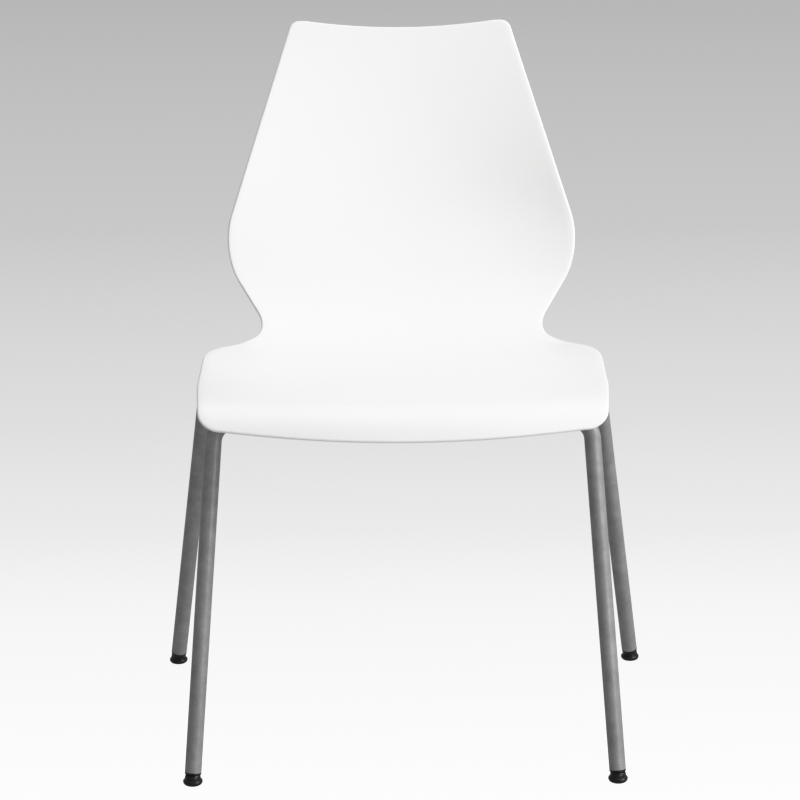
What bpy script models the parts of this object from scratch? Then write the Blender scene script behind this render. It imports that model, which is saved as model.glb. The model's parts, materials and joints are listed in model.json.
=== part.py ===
"""Stacking chair: a one-piece plastic shell on a bent steel tube frame with swivel glides.

Metres, +Z up. The chair faces -Y and is symmetric about the plane X = 0. The origin is on
the floor, under the centre of the chair's bounding box.
"""
import math

import bmesh
import bpy
from mathutils import Vector

# Fits
GAP = 0.0003                     # clearance between pieces that touch
CUT_MARGIN = 0.002               # how far a cutter runs past the face that it enters

# Plastic shell
SHELL_THICKNESS = 0.005
SEAT_HALF_WIDTH = 0.2325
DISH_REFERENCE = 0.21            # half width at which the dish depths below are measured
FRONT_EDGE = 0.0166              # where the ends of the front lip lie along the side profile
TOP_EDGE = 0.7834                # where the corners of the top edge lie along the side profile
FRONT_BOW = 0.0142               # how much lower the middle of the front lip hangs than its ends
TOP_DIP = 0.0076                 # how much lower the middle of the top edge is than its corners
FRONT_FADE = 0.12                # length over which the bow of the front lip dies out
TOP_FADE = 0.10
ROW_STEP = 0.021                 # longest step between rows of the shell
COLUMNS = 16
PROFILE_ARC_STEPS = 12
OUTLINE_ARC_STEPS = 5

# Side profile of the shell's top face on the centre plane: y, z and the corner's radius
SIDE_PROFILE = (
    (-0.2625, 0.4035, 0.0),
    (-0.2435, 0.4415, 0.045),
    (-0.0400, 0.4335, 0.90),
    (0.1300, 0.4215, 0.120),
    (0.1920, 0.5700, 0.60),
    (0.2590, 0.7965, 0.0),
)

# Half outline of the flattened shell: distance from the lip along the profile, half width
# and the corner's radius
HALF_OUTLINE = (
    (FRONT_EDGE, 0.1960, 0.0),
    (FRONT_EDGE, 0.2255, 0.027),
    (0.1300, SEAT_HALF_WIDTH, 0.40),
    (0.2850, SEAT_HALF_WIDTH, 0.120),
    (0.3891, 0.1607, 0.052),
    (0.5000, 0.2195, 0.110),
    (TOP_EDGE, 0.1328, 0.013),
    (TOP_EDGE, 0.1100, 0.0),
)

# How far the shell's sides stand above its centre line: distance from the lip, rise
DISH_STATIONS = (
    (0.00, -0.004),
    (0.10, 0.004),
    (0.36, 0.014),
    (0.46, 0.016),
    (0.60, 0.032),
    (0.84, 0.014),
)

# Steel frame
TUBE_RADIUS = 0.0095
TUBE_WALL = 0.0012
TUBE_SIDES = 16
BEND_RADIUS = 0.0235
BEND_STEPS = 6
RAIL_Z = 0.404
FRONT_FOOT = (0.2410, -0.2465, 0.0142)   # lower end of a front leg's axis: x, y, z
FRONT_KNEE = (0.2125, -0.1630)   # x, y of the corner between a front leg and its cross rail
REAR_FOOT = (0.2835, 0.1555, 0.0168)
REAR_KNEE = (0.2310, 0.0220)
SIDE_RAIL_X = 0.130
SIDE_RAIL_RADIUS = 0.008
SIDE_RAIL_SIDES = 14
COPE_SIDES = 32

# Mounting plates, screws and bosses
PLATE_X = 0.092
PLATE_SIZE = (0.030, 0.038, 0.0025)
PLATE_CORNER = 0.004
SCREW_INSET = 0.021              # from a rail's axis to its screws, towards the chair's middle
PLATE_INSET = 0.012              # from a rail's axis to the middle of its plates
SCREW_RADIUS = 0.0024
SCREW_LENGTH = 0.009
TIP_LENGTH = 0.0015              # length of the taper at a screw's tip
TIP_RADIUS = 0.0015
SCREW_HEAD_RADIUS = 0.0046
SCREW_HEAD_HEIGHT = 0.0028
HEAD_DOME = 0.0011               # height of the sloping part of a screw's head
HEAD_FLAT_RADIUS = 0.0032
RECESS_MOUTH_RADIUS = 0.0016
RECESS_FLOOR_RADIUS = 0.0014
RECESS_DEPTH = 0.6               # share of the head's height
WASHER_RADIUS = 0.0062
WASHER_THICKNESS = 0.001
WASHER_SIDES = 20
HOLE_CLEARANCE = 0.0003
HOLE_SIDES = 16
BOSS_SIDES = 16
BOSS_RADIUS = 0.0085
BOSS_ROOT = 0.0027               # how far a boss runs up into the shell
BOSS_WEB = (0.040, 0.003)        # length and thickness of the webs that brace a boss
WEB_START = 0.4                  # share of a boss's height that its webs leave free
BORE_SPARE = 0.001               # how far a bore runs past the tip of its screw
HEIGHT_STEPS = 200               # steps in which the shell's underside is searched for a height

# Stacking bumpers
BUMPER_X = 0.158
BUMPER_WIDTH = 0.022
BUMPER_WALL = 0.0028
BUMPER_PAD = 0.0055              # how far the pad stands below the tube
BUMPER_PAD_HALF = 0.0075
BUMPER_MOUTH = math.radians(105)
BUMPER_STEPS = 14

# Glides
BALL_RADIUS = 0.0066
BALL_Z = 0.0080                  # height of a foot's ball centre, which is on its joint's axis
BALL_STEPS = 6
NECK_RADIUS = 0.0032
COLLAR_THICKNESS = 0.0012
SKIRT_BOTTOM = 0.0042            # height of the insert's lower rim above the ball's centre
SKIRT_RADIUS = 0.0091
PLUG_LENGTH = 0.018
PLUG_LEAD = 0.0015
DOME_RADIUS = 0.0092             # outside of a foot's socket, round the ball's centre
DOME_MOUTH = 30                  # degrees above the ball's centre at which the socket opens
FOOT_RADIUS = 0.01125
FOOT_EDGE = 0.0026               # rounding of the foot's flange
FLANGE_SLOPE = 68                # degrees of the rounding at which the flange's top begins
FLANGE_TOP = 0.0070
COVE_RADIUS = 0.0003             # hollow corner between a foot's dome and its flange
GLIDE_SIDES = 18
ARC_STEPS = 4

SIDES = (("left", -1), ("right", 1))


def material(name, colour, roughness, metallic=0.0):
    """A Principled material, made once for each name."""
    made = bpy.data.materials.get(name)
    if made is None:
        made = bpy.data.materials.new(name)
        made.use_nodes = True
        shader = made.node_tree.nodes["Principled BSDF"]
        shader.inputs["Base Color"].default_value = (*colour, 1.0)
        shader.inputs["Roughness"].default_value = roughness
        shader.inputs["Metallic"].default_value = metallic
    return made


def shell_plastic():
    return material("white_shell_plastic", (0.88, 0.88, 0.87), 0.45)


def tube_paint():
    return material("silver_powder_coat", (0.38, 0.38, 0.38), 0.42, 0.6)


def plated_steel():
    return material("plated_steel", (0.55, 0.56, 0.58), 0.30, 1.0)


def black_plastic():
    return material("black_plastic", (0.015, 0.015, 0.016), 0.40)


def add_object(name, mesh_data, surface, smooth_angle=35):
    """Link a mesh as a new object with one material and smooth shading on round faces."""
    mesh = bpy.data.meshes.new(name)
    mesh_data.to_mesh(mesh)
    mesh_data.free()
    mesh.materials.append(surface)
    mesh.shade_smooth()
    mesh.set_sharp_from_angle(angle=math.radians(smooth_angle))
    piece = bpy.data.objects.new(name, mesh)
    bpy.context.scene.collection.objects.link(piece)
    return piece


def faced_bmesh(vertices, faces):
    """A bmesh from corner positions and face indices."""
    bm = bmesh.new()
    corners = [bm.verts.new(corner) for corner in vertices]
    for face in faces:
        bm.faces.new([corners[index] for index in face])
    return bm


def closed_bmesh(vertices, faces):
    """A closed bmesh with every face pointing out."""
    bm = faced_bmesh(vertices, faces)
    bmesh.ops.recalc_face_normals(bm, faces=bm.faces)
    return bm


def rounded_path(corners, radii, steps):
    """Points along straight runs whose inner corners are replaced by arcs."""
    corners = [Vector(corner) for corner in corners]
    path = [corners[0]]
    for before, corner, after, radius in zip(corners, corners[1:], corners[2:], radii):
        to_before = (before - corner).normalized()
        to_after = (after - corner).normalized()
        half_angle = to_before.angle(to_after) / 2
        bisector = (to_before + to_after).normalized()
        centre = corner + bisector * radius / math.sin(half_angle)
        across = (to_after - to_before).normalized()
        sweep = math.pi / 2 - half_angle
        for step in range(steps + 1):
            turn = sweep * (2 * step / steps - 1)
            path.append(centre + (across * math.sin(turn) - bisector * math.cos(turn)) * radius)
    path.append(corners[-1])
    return path


def stepped(path, spacing):
    """The path with every run longer than the spacing cut into equal steps."""
    points = [path[0]]
    for start, end in zip(path, path[1:]):
        pieces = max(1, math.ceil((end - start).length / spacing))
        for piece in range(1, pieces + 1):
            points.append(start.lerp(end, piece / pieces))
    return points


def eased(stations, distance):
    """A value that eases from one station to the next."""
    if distance <= stations[0][0]:
        return stations[0][1]
    for (start, low), (end, high) in zip(stations, stations[1:]):
        if distance <= end:
            part = (distance - start) / (end - start)
            return low + (high - low) * part * part * (3 - 2 * part)
    return stations[-1][1]


# ---------------------------------------------------------------- shell

def profile_points():
    """The side profile as (y, z) points with their distance from the lip."""
    corners = [(y, z) for y, z, _ in SIDE_PROFILE]
    radii = [radius for _, _, radius in SIDE_PROFILE[1:-1]]
    path = rounded_path(corners, radii, PROFILE_ARC_STEPS)
    distances = [0.0]
    for start, end in zip(path, path[1:]):
        distances.append(distances[-1] + (end - start).length)
    return path, distances


PROFILE_PATH, PROFILE_DISTANCES = profile_points()


def profile_frame(distance):
    """Point on the side profile and the direction square to it, up and forwards."""
    distance = max(0.0, min(PROFILE_DISTANCES[-1], distance))
    index = 1
    while PROFILE_DISTANCES[index] < distance and index < len(PROFILE_PATH) - 1:
        index += 1
    start, end = PROFILE_PATH[index - 1], PROFILE_PATH[index]
    run = PROFILE_DISTANCES[index] - PROFILE_DISTANCES[index - 1]
    point = start.lerp(end, (distance - PROFILE_DISTANCES[index - 1]) / run)
    along = (end - start).normalized()
    return point, Vector((-along.y, along.x))


def shell_point(across, row_distance, half_width):
    """Top face of the shell at a distance across from the centre plane."""
    middle = 1 - (across / half_width) ** 2
    front = max(0.0, 1 - (row_distance - FRONT_EDGE) / FRONT_FADE)
    top = max(0.0, 1 - (TOP_EDGE - row_distance) / TOP_FADE)
    distance = row_distance - middle * (FRONT_BOW * front ** 2 + TOP_DIP * top ** 2)
    point, normal = profile_frame(distance)
    rise = eased(DISH_STATIONS, distance) * (across / DISH_REFERENCE) ** 2
    point = point + normal * rise
    return Vector((across, point.x, point.y))


def shell_rows():
    """Rows across the shell, from the front lip to the top edge."""
    corners = [(distance, width) for distance, width, _ in HALF_OUTLINE]
    radii = [radius for _, _, radius in HALF_OUTLINE[1:-1]]
    outline = stepped(rounded_path(corners, radii, OUTLINE_ARC_STEPS), ROW_STEP)
    return [(row.x, row.y) for row in outline[1:-1]]


def shell_surface():
    """The shell's top face as an open sheet, its faces pointing up and forwards."""
    vertices = []
    rows = shell_rows()
    for distance, half_width in rows:
        for column in range(COLUMNS + 1):
            across = half_width * (2 * column / COLUMNS - 1)
            vertices.append(shell_point(across, distance, half_width))
    faces = []
    width = COLUMNS + 1
    for row in range(len(rows) - 1):
        for column in range(COLUMNS):
            corner = row * width + column
            faces.append((corner, corner + 1, corner + 1 + width, corner + width))
    return faced_bmesh(vertices, faces)


def screw_places():
    """Name, x and y of the four screws."""
    places = []
    for end, knee, inward in (("front", FRONT_KNEE, 1), ("rear", REAR_KNEE, -1)):
        for side, sign in SIDES:
            places.append((f"{end}_{side}", sign * PLATE_X, knee[1] + inward * SCREW_INSET))
    return places


PLATE_BOTTOM = RAIL_Z + TUBE_RADIUS + GAP
PLATE_TOP = PLATE_BOTTOM + PLATE_SIZE[2]
BOSS_BOTTOM = PLATE_TOP + GAP


def underside_height(x, y):
    """Height of the shell's underside at a place on the seat."""
    for step in range(HEIGHT_STEPS):
        distance = PROFILE_DISTANCES[-1] * step / HEIGHT_STEPS
        point = shell_point(x, distance, SEAT_HALF_WIDTH)
        if point.y >= y:
            return point.z - SHELL_THICKNESS
    raise ValueError("outside the seat")


def cutter(name, bm):
    """A hidden object that only shapes another one."""
    piece = add_object(name, bm, shell_plastic())
    piece.hide_render = True
    piece.display_type = "WIRE"
    return piece


def box_bmesh(low, high):
    bm = bmesh.new()
    bmesh.ops.create_cube(bm, size=1.0)
    low = Vector(low)
    high = Vector(high)
    for vertex in bm.verts:
        vertex.co = Vector((low[i] + (vertex.co[i] + 0.5) * (high[i] - low[i]) for i in range(3)))
    return bm


def boolean(target, tool, operation):
    modifier = target.modifiers.new(tool.name, "BOOLEAN")
    modifier.operation = operation
    modifier.solver = "EXACT"
    modifier.object = tool


def make_shell():
    """Seat and back in one moulding, with four braced screw bosses under the seat."""
    shell = add_object("seat_shell", shell_surface(), shell_plastic(), 60)
    solid = shell.modifiers.new("wall", "SOLIDIFY")
    solid.thickness = SHELL_THICKNESS
    solid.offset = -1
    solid.use_even_offset = True
    length, thickness = BOSS_WEB
    for name, x, y in screw_places():
        top = underside_height(x, y) + BOSS_ROOT
        height = top - BOSS_BOTTOM
        for axis in range(2):
            half = [thickness / 2, thickness / 2]
            half[axis] = length / 2
            low = (x - half[0], y - half[1], BOSS_BOTTOM + WEB_START * height)
            web = box_bmesh(low, (x + half[0], y + half[1], top))
            boolean(shell, cutter(f"guide_{name}_web_{axis}", web), "UNION")
        boss_guide = cutter(f"guide_{name}_boss", cylinder_bmesh(BOSS_RADIUS, 0.0, height, BOSS_SIDES))
        boss_guide.location = (x, y, BOSS_BOTTOM)
        boolean(shell, boss_guide, "UNION")
        bore = cylinder_bmesh(
            SCREW_RADIUS + HOLE_CLEARANCE, -CUT_MARGIN, SCREW_LENGTH + BORE_SPARE, HOLE_SIDES)
        bore_guide = cutter(f"guide_{name}_bore", bore)
        bore_guide.location = (x, y, BOSS_BOTTOM)
        boolean(shell, bore_guide, "DIFFERENCE")


# ---------------------------------------------------------------- turned pieces

def turned_bmesh(profile, sides):
    """A solid of revolution about Z from (radius, height) points that start and end on the axis."""
    vertices = []
    rings = []
    for radius, height in profile:
        if radius == 0.0:
            rings.append([len(vertices)])
            vertices.append((0.0, 0.0, height))
        else:
            rings.append(list(range(len(vertices), len(vertices) + sides)))
            for side in range(sides):
                angle = 2 * math.pi * side / sides
                vertices.append((radius * math.cos(angle), radius * math.sin(angle), height))
    faces = []
    for upper, lower in zip(rings, rings[1:]):
        for side in range(sides):
            after = (side + 1) % sides
            if len(upper) == 1:
                faces.append((upper[0], lower[side], lower[after]))
            elif len(lower) == 1:
                faces.append((upper[side], lower[0], upper[after]))
            else:
                faces.append((upper[side], lower[side], lower[after], upper[after]))
    return closed_bmesh(vertices, faces)


def cylinder_bmesh(radius, bottom, top, sides):
    """A solid cylinder about Z."""
    return turned_bmesh(((0.0, top), (radius, top), (radius, bottom), (0.0, bottom)), sides)


def arc(centre, radius, start_degrees, end_degrees, steps):
    """Points on an arc in the (radius, height) plane of a turned profile."""
    points = []
    for step in range(steps + 1):
        angle = math.radians(start_degrees + (end_degrees - start_degrees) * step / steps)
        points.append((centre[0] + radius * math.cos(angle), centre[1] + radius * math.sin(angle)))
    return points


# ---------------------------------------------------------------- frame

def tube_bmesh(path, radius, wall, sides):
    """An open-ended tube along a path that lies in one plane."""
    normal = Vector()
    for before, point, after in zip(path, path[1:], path[2:]):
        normal += (point - before).cross(after - point)
    if normal.length < 1e-9:
        normal = (path[1] - path[0]).orthogonal()
    normal.normalize()
    vertices = []
    for skin in (radius, radius - wall):
        for index, point in enumerate(path):
            before = path[max(index - 1, 0)]
            after = path[min(index + 1, len(path) - 1)]
            along = (after - before).normalized()
            across = normal.cross(along).normalized()
            for side in range(sides):
                angle = 2 * math.pi * side / sides
                vertices.append(point + (across * math.cos(angle) + normal * math.sin(angle)) * skin)
    count = len(path)
    faces = []
    for side in range(sides):
        after = (side + 1) % sides
        for skin in range(2):
            for ring in range(count - 1):
                low = (skin * count + ring) * sides
                high = low + sides
                faces.append((low + side, low + after, high + after, high + side))
        for ring in (0, count - 1):
            outer = ring * sides
            inner = (count + ring) * sides
            faces.append((outer + side, outer + after, inner + after, inner + side))
    return closed_bmesh(vertices, faces)


def leg_ends(foot, knee, sign):
    """Lower end and upper corner of one leg's axis."""
    return Vector((sign * foot[0], foot[1], foot[2])), Vector((sign * knee[0], knee[1], RAIL_Z))


def make_leg_frame(name, foot, knee):
    """Two legs and the rail between them, bent from one tube."""
    left_end, left_knee = leg_ends(foot, knee, -1)
    right_end, right_knee = leg_ends(foot, knee, 1)
    corners = (left_end, left_knee, right_knee, right_end)
    path = rounded_path(corners, (BEND_RADIUS, BEND_RADIUS), BEND_STEPS)
    add_object(name, tube_bmesh(path, TUBE_RADIUS, TUBE_WALL, TUBE_SIDES), tube_paint())


def make_side_rails():
    """Short tubes between the two cross rails, coped to fit against them."""
    for side, sign in SIDES:
        x = sign * SIDE_RAIL_X
        start = Vector((x, FRONT_KNEE[1], RAIL_Z))
        end = Vector((x, REAR_KNEE[1], RAIL_Z))
        rail = add_object(
            f"{side}_side_rail",
            tube_bmesh([start, end], SIDE_RAIL_RADIUS, TUBE_WALL, SIDE_RAIL_SIDES), tube_paint())
        reach = SIDE_RAIL_RADIUS + CUT_MARGIN
        for place, centre in (("front", start), ("rear", end)):
            cope = cylinder_bmesh(TUBE_RADIUS + GAP, -reach, reach, COPE_SIDES)
            guide = cutter(f"guide_{place}_{side}_cope", cope)
            guide.rotation_euler = (0.0, math.pi / 2, 0.0)
            guide.location = centre
            boolean(rail, guide, "DIFFERENCE")


def make_plates():
    """Flat plates on top of the rails, each with one screw hole."""
    width, length, thickness = PLATE_SIZE
    for name, x, screw_y in screw_places():
        inward = 1 if name.startswith("front") else -1
        y = screw_y + inward * (PLATE_INSET - SCREW_INSET)
        bm = box_bmesh((-width / 2, -length / 2, 0.0), (width / 2, length / 2, thickness))
        uprights = [edge for edge in bm.edges if edge.verts[0].co.xy == edge.verts[1].co.xy]
        bmesh.ops.bevel(bm, geom=uprights, offset=PLATE_CORNER, segments=ARC_STEPS, affect="EDGES")
        plate = add_object(f"{name}_seat_plate", bm, tube_paint())
        plate.location = (x, y, PLATE_BOTTOM)
        hole = cylinder_bmesh(
            SCREW_RADIUS + HOLE_CLEARANCE, -CUT_MARGIN, thickness + CUT_MARGIN, HOLE_SIDES)
        guide = cutter(f"guide_{name}_plate_hole", hole)
        guide.location = (x, screw_y, PLATE_BOTTOM)
        boolean(plate, guide, "DIFFERENCE")


def screw_profile(tip):
    """Turned profile of a pan-head screw with a round recess, about the underside of its head."""
    recess_bottom = (RECESS_DEPTH - 1) * SCREW_HEAD_HEIGHT
    return (
        (0.0, tip),
        (TIP_RADIUS, tip),
        (SCREW_RADIUS, tip - TIP_LENGTH),
        (SCREW_RADIUS, 0.0),
        (SCREW_HEAD_RADIUS, 0.0),
        (SCREW_HEAD_RADIUS, HEAD_DOME - SCREW_HEAD_HEIGHT),
        (HEAD_FLAT_RADIUS, -SCREW_HEAD_HEIGHT),
        (RECESS_MOUTH_RADIUS, -SCREW_HEAD_HEIGHT),
        (RECESS_FLOOR_RADIUS, recess_bottom),
        (0.0, recess_bottom),
    )


def make_screws():
    """A pan-head screw and a washer under each plate."""
    washer_top = PLATE_BOTTOM - GAP
    head_top = washer_top - WASHER_THICKNESS - GAP
    hole = SCREW_RADIUS + HOLE_CLEARANCE
    washer_section = (
        (hole, 0.0),
        (WASHER_RADIUS, 0.0),
        (WASHER_RADIUS, -WASHER_THICKNESS),
        (hole, -WASHER_THICKNESS),
    )
    for name, x, y in screw_places():
        washer = add_object(f"{name}_washer", ring_bmesh(washer_section, WASHER_SIDES), plated_steel())
        washer.location = (x, y, washer_top)
        profile = screw_profile(BOSS_BOTTOM + SCREW_LENGTH - head_top)
        screw = add_object(f"{name}_seat_screw", turned_bmesh(profile, HOLE_SIDES), plated_steel())
        screw.location = (x, y, head_top)


def ring_bmesh(section, sides):
    """A ring turned about Z from a closed section of (radius, height) points."""
    vertices = []
    for side in range(sides):
        angle = 2 * math.pi * side / sides
        for radius, height in section:
            vertices.append((radius * math.cos(angle), radius * math.sin(angle), height))
    count = len(section)
    faces = []
    for side in range(sides):
        here = side * count
        after = (side + 1) % sides * count
        for corner in range(count):
            next_corner = (corner + 1) % count
            faces.append((here + corner, here + next_corner, after + next_corner, after + corner))
    return closed_bmesh(vertices, faces)


# ---------------------------------------------------------------- bumpers

def bumper_section():
    """Section of a bumper in (y, z): a clip round the tube, open at the top, with a pad below."""
    inner = TUBE_RADIUS + GAP
    outer = inner + BUMPER_WALL
    pad_bottom = -(TUBE_RADIUS + BUMPER_PAD)
    start = math.pi / 2 + BUMPER_MOUTH / 2
    sweep = 2 * math.pi - BUMPER_MOUTH
    section = []
    for step in range(BUMPER_STEPS + 1):
        angle = start + sweep * step / BUMPER_STEPS
        section.append((inner * math.cos(angle), inner * math.sin(angle)))
    for step in range(BUMPER_STEPS + 1):
        angle = start + sweep * (1 - step / BUMPER_STEPS)
        y = outer * math.cos(angle)
        z = outer * math.sin(angle)
        if z < 0 and abs(y) < BUMPER_PAD_HALF:
            z = pad_bottom
        section.append((y, z))
    return section


def make_bumpers():
    """Clip-on pads under the cross rails, which a stacked chair rests on."""
    section = bumper_section()
    count = len(section)
    for end, knee in (("front", FRONT_KNEE), ("rear", REAR_KNEE)):
        for side, sign in SIDES:
            vertices = []
            for x in (-BUMPER_WIDTH / 2, BUMPER_WIDTH / 2):
                for y, z in section:
                    vertices.append((x, y, z))
            faces = [tuple(range(count)), tuple(range(count, 2 * count))]
            for corner in range(count):
                after = (corner + 1) % count
                faces.append((corner, after, count + after, count + corner))
            bm = closed_bmesh(vertices, faces)
            bumper = add_object(f"{end}_{side}_stack_bumper", bm, black_plastic())
            bumper.location = (sign * BUMPER_X, knee[1], RAIL_Z)


# ---------------------------------------------------------------- glides

def insert_profile(stem_length):
    """Turned profile of a glide insert about the ball's centre: plug, collar, pocket and ball."""
    plug_radius = TUBE_RADIUS - TUBE_WALL - GAP
    plug_top = stem_length + PLUG_LENGTH
    collar_top = stem_length - GAP
    pocket_radius = DOME_RADIUS + GAP
    pocket_mouth = math.degrees(math.asin(SKIRT_BOTTOM / pocket_radius))
    pocket_neck = math.degrees(math.acos(NECK_RADIUS / pocket_radius))
    ball_neck = math.degrees(math.acos(NECK_RADIUS / BALL_RADIUS))
    pocket = arc((0.0, 0.0), pocket_radius, pocket_mouth, pocket_neck, ARC_STEPS)
    ball = arc((0.0, 0.0), BALL_RADIUS, ball_neck, -90, BALL_STEPS)
    ball[-1] = (0.0, -BALL_RADIUS)
    return [
        (0.0, plug_top),
        (plug_radius - PLUG_LEAD, plug_top),
        (plug_radius, plug_top - PLUG_LEAD),
        (plug_radius, collar_top),
        (TUBE_RADIUS, collar_top),
        (TUBE_RADIUS, collar_top - COLLAR_THICKNESS),
        (SKIRT_RADIUS, SKIRT_BOTTOM),
    ] + pocket + ball


def foot_profile():
    """Turned profile of a swivel foot about the ball's centre: socket, dome, flange and sole."""
    socket_radius = BALL_RADIUS + GAP
    sole = -BALL_Z
    flange_top = FLANGE_TOP - BALL_Z
    socket = arc((0.0, 0.0), socket_radius, -90, DOME_MOUTH, BALL_STEPS)
    socket[0] = (0.0, -socket_radius)
    dome = arc((0.0, 0.0), DOME_RADIUS, DOME_MOUTH, 0, ARC_STEPS)
    cove = arc((DOME_RADIUS + COVE_RADIUS, flange_top + COVE_RADIUS), COVE_RADIUS, 180, 270, 1)
    edge = arc((FOOT_RADIUS - FOOT_EDGE, flange_top - FOOT_EDGE), FOOT_EDGE, FLANGE_SLOPE, 0, ARC_STEPS)
    heel_radius = FLANGE_TOP - FOOT_EDGE
    heel = arc((FOOT_RADIUS - heel_radius, sole + heel_radius), heel_radius, 0, -90, ARC_STEPS)
    return socket + dome + cove + edge + heel[1:] + [(0.0, sole)]


def make_glides():
    """A plug in the end of each leg and the foot that swivels on the plug's ball."""
    for end, foot, knee in (("front", FRONT_FOOT, FRONT_KNEE), ("rear", REAR_FOOT, REAR_KNEE)):
        for side, sign in SIDES:
            leg_end, leg_knee = leg_ends(foot, knee, sign)
            along = (leg_knee - leg_end).normalized()
            stem_length = (leg_end.z - BALL_Z) / along.z
            ball_centre = leg_end - along * stem_length
            insert = turned_bmesh(insert_profile(stem_length), GLIDE_SIDES)
            plug = add_object(f"{end}_{side}_glide_insert", insert, black_plastic(), 40)
            plug.rotation_mode = "QUATERNION"
            plug.rotation_quaternion = along.to_track_quat("Z", "Y")
            plug.location = ball_centre
            glide = turned_bmesh(foot_profile(), GLIDE_SIDES)
            swivel_foot = add_object(f"{end}_{side}_glide_foot", glide, black_plastic(), 40)
            swivel_foot.location = ball_centre


def main():
    for old in list(bpy.data.objects):
        bpy.data.objects.remove(old, do_unlink=True)
    make_shell()
    make_leg_frame("front_leg_frame", FRONT_FOOT, FRONT_KNEE)
    make_leg_frame("rear_leg_frame", REAR_FOOT, REAR_KNEE)
    make_side_rails()
    make_plates()
    make_screws()
    make_bumpers()
    make_glides()


main()
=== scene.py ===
"""Looks of the stacking chair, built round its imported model.

Metres, +Z up. The chair faces -Y and is symmetric about the plane X = 0.
"""
import bisect
import json
import math

import bmesh
import bpy
from mathutils import Matrix, Vector


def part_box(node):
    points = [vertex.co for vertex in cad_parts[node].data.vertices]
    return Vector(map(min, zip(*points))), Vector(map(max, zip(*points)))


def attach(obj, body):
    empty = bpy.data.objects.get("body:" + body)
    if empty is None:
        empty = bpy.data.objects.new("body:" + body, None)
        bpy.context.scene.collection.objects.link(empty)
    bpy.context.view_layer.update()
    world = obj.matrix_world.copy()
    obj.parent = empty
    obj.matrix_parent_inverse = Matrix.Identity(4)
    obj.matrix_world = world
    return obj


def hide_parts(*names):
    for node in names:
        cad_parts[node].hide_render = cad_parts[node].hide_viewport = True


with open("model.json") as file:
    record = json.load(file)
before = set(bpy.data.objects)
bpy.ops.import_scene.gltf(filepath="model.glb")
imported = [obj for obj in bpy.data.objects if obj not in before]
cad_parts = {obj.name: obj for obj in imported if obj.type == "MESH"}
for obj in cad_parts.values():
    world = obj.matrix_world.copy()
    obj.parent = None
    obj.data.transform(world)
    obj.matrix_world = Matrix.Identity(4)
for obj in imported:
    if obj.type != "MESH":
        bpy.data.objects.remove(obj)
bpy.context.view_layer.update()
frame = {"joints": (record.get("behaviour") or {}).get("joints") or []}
JOINT_PLACES = {joint["child"]: Vector(joint["pos_m"]) for joint in frame["joints"]}

ENDS = ("front", "rear")
SIDES = (("left", -1), ("right", 1))
CORNERS = [(f"{end}_{side}", end, sign) for end in ENDS for side, sign in SIDES]
GAP = 0.0003                     # clearance between pieces that touch
SHARP_ANGLE = 40                 # degrees above which an edge between faces stays sharp
ON_AXIS = 0.000003               # a turned profile's point this near the axis is a pole
EDGE_STEPS = 4                   # steps in the rounding of a small edge
CORNER_STEPS = 8                 # steps in the rounding of a larger corner

# Plastic shell
SHELL_THICKNESS = 0.005
SEAT_HALF_WIDTH = 0.2325
DISH_REFERENCE = 0.21            # half width at which the rises of DISH_STATIONS are measured
FRONT_EDGE = 0.0166              # where the ends of the front lip lie along the side profile
TOP_EDGE = 0.7834                # where the corners of the top edge lie along the side profile
FRONT_BOW = 0.0142               # how much lower the middle of the front lip hangs than its ends
TOP_DIP = 0.0076                 # how much lower the middle of the top edge is than its corners
FRONT_FADE = 0.12                # length over which the bow of the front lip dies out
TOP_FADE = 0.10
RIM_RADIUS = 0.0021              # rounding of the shell's rim
RIM_STEPS = 8
SHELL_SHARP_ANGLE = 60           # the shell's own sharp angle, past its small outline steps
ROW_STEP = 0.006
COLUMNS = 56
ARC_STEPS = 14                   # steps in each arc of the outline
PROFILE_ARC_STEPS = 56           # steps in each arc of the side profile
PROFILE_STEP = 0.001
PROFILE_SMOOTHING = 36           # passes that ease the profile's curvature from arc to arc
SLOPE_STEP = 0.0005              # distance over which the surface's slope is measured

# Side profile of the shell's top face on the centre plane: y, z and the corner's radius
SIDE_PROFILE = (
    (-0.2625, 0.4035, 0.0),
    (-0.2435, 0.4415, 0.045),
    (-0.0400, 0.4335, 0.90),
    (0.1300, 0.4215, 0.120),
    (0.1920, 0.5700, 0.60),
    (0.2590, 0.7965, 0.0),
)

# Half outline of the flattened shell: distance from the lip along the profile, half width
# and the corner's radius
HALF_OUTLINE = (
    (FRONT_EDGE, 0.1960, 0.0),
    (FRONT_EDGE, 0.2255, 0.027),
    (0.1300, SEAT_HALF_WIDTH, 0.40),
    (0.2850, SEAT_HALF_WIDTH, 0.120),
    (0.3891, 0.1607, 0.052),
    (0.5000, 0.2195, 0.110),
    (TOP_EDGE, 0.1328, 0.013),
    (TOP_EDGE, 0.1100, 0.0),
)

# How far the shell's sides stand above its centre line: distance from the lip, rise
DISH_STATIONS = (
    (0.00, -0.004),
    (0.10, 0.004),
    (0.36, 0.014),
    (0.46, 0.016),
    (0.60, 0.032),
    (0.84, 0.014),
)

# Screw bosses under the seat
BOSS_RADIUS = 0.0085
BOSS_ROOT = 0.0027               # how far a boss runs up into the shell
BOSS_FILLET = 0.002
FILLET_STEPS = 5
BOSS_WEB = (0.040, 0.003)        # length and thickness of the webs that brace a boss
WEB_START = 0.4                  # share of a boss's height that its webs leave free
WEB_SLOPE = 0.75                 # share of a web's height over which its ends slope
HEIGHT_STEPS = 400               # steps in which the shell's underside is searched for a height
GATE_RADIUS = 0.004              # moulding gate under the middle of the seat
GATE_HEIGHT = 0.0008

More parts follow.
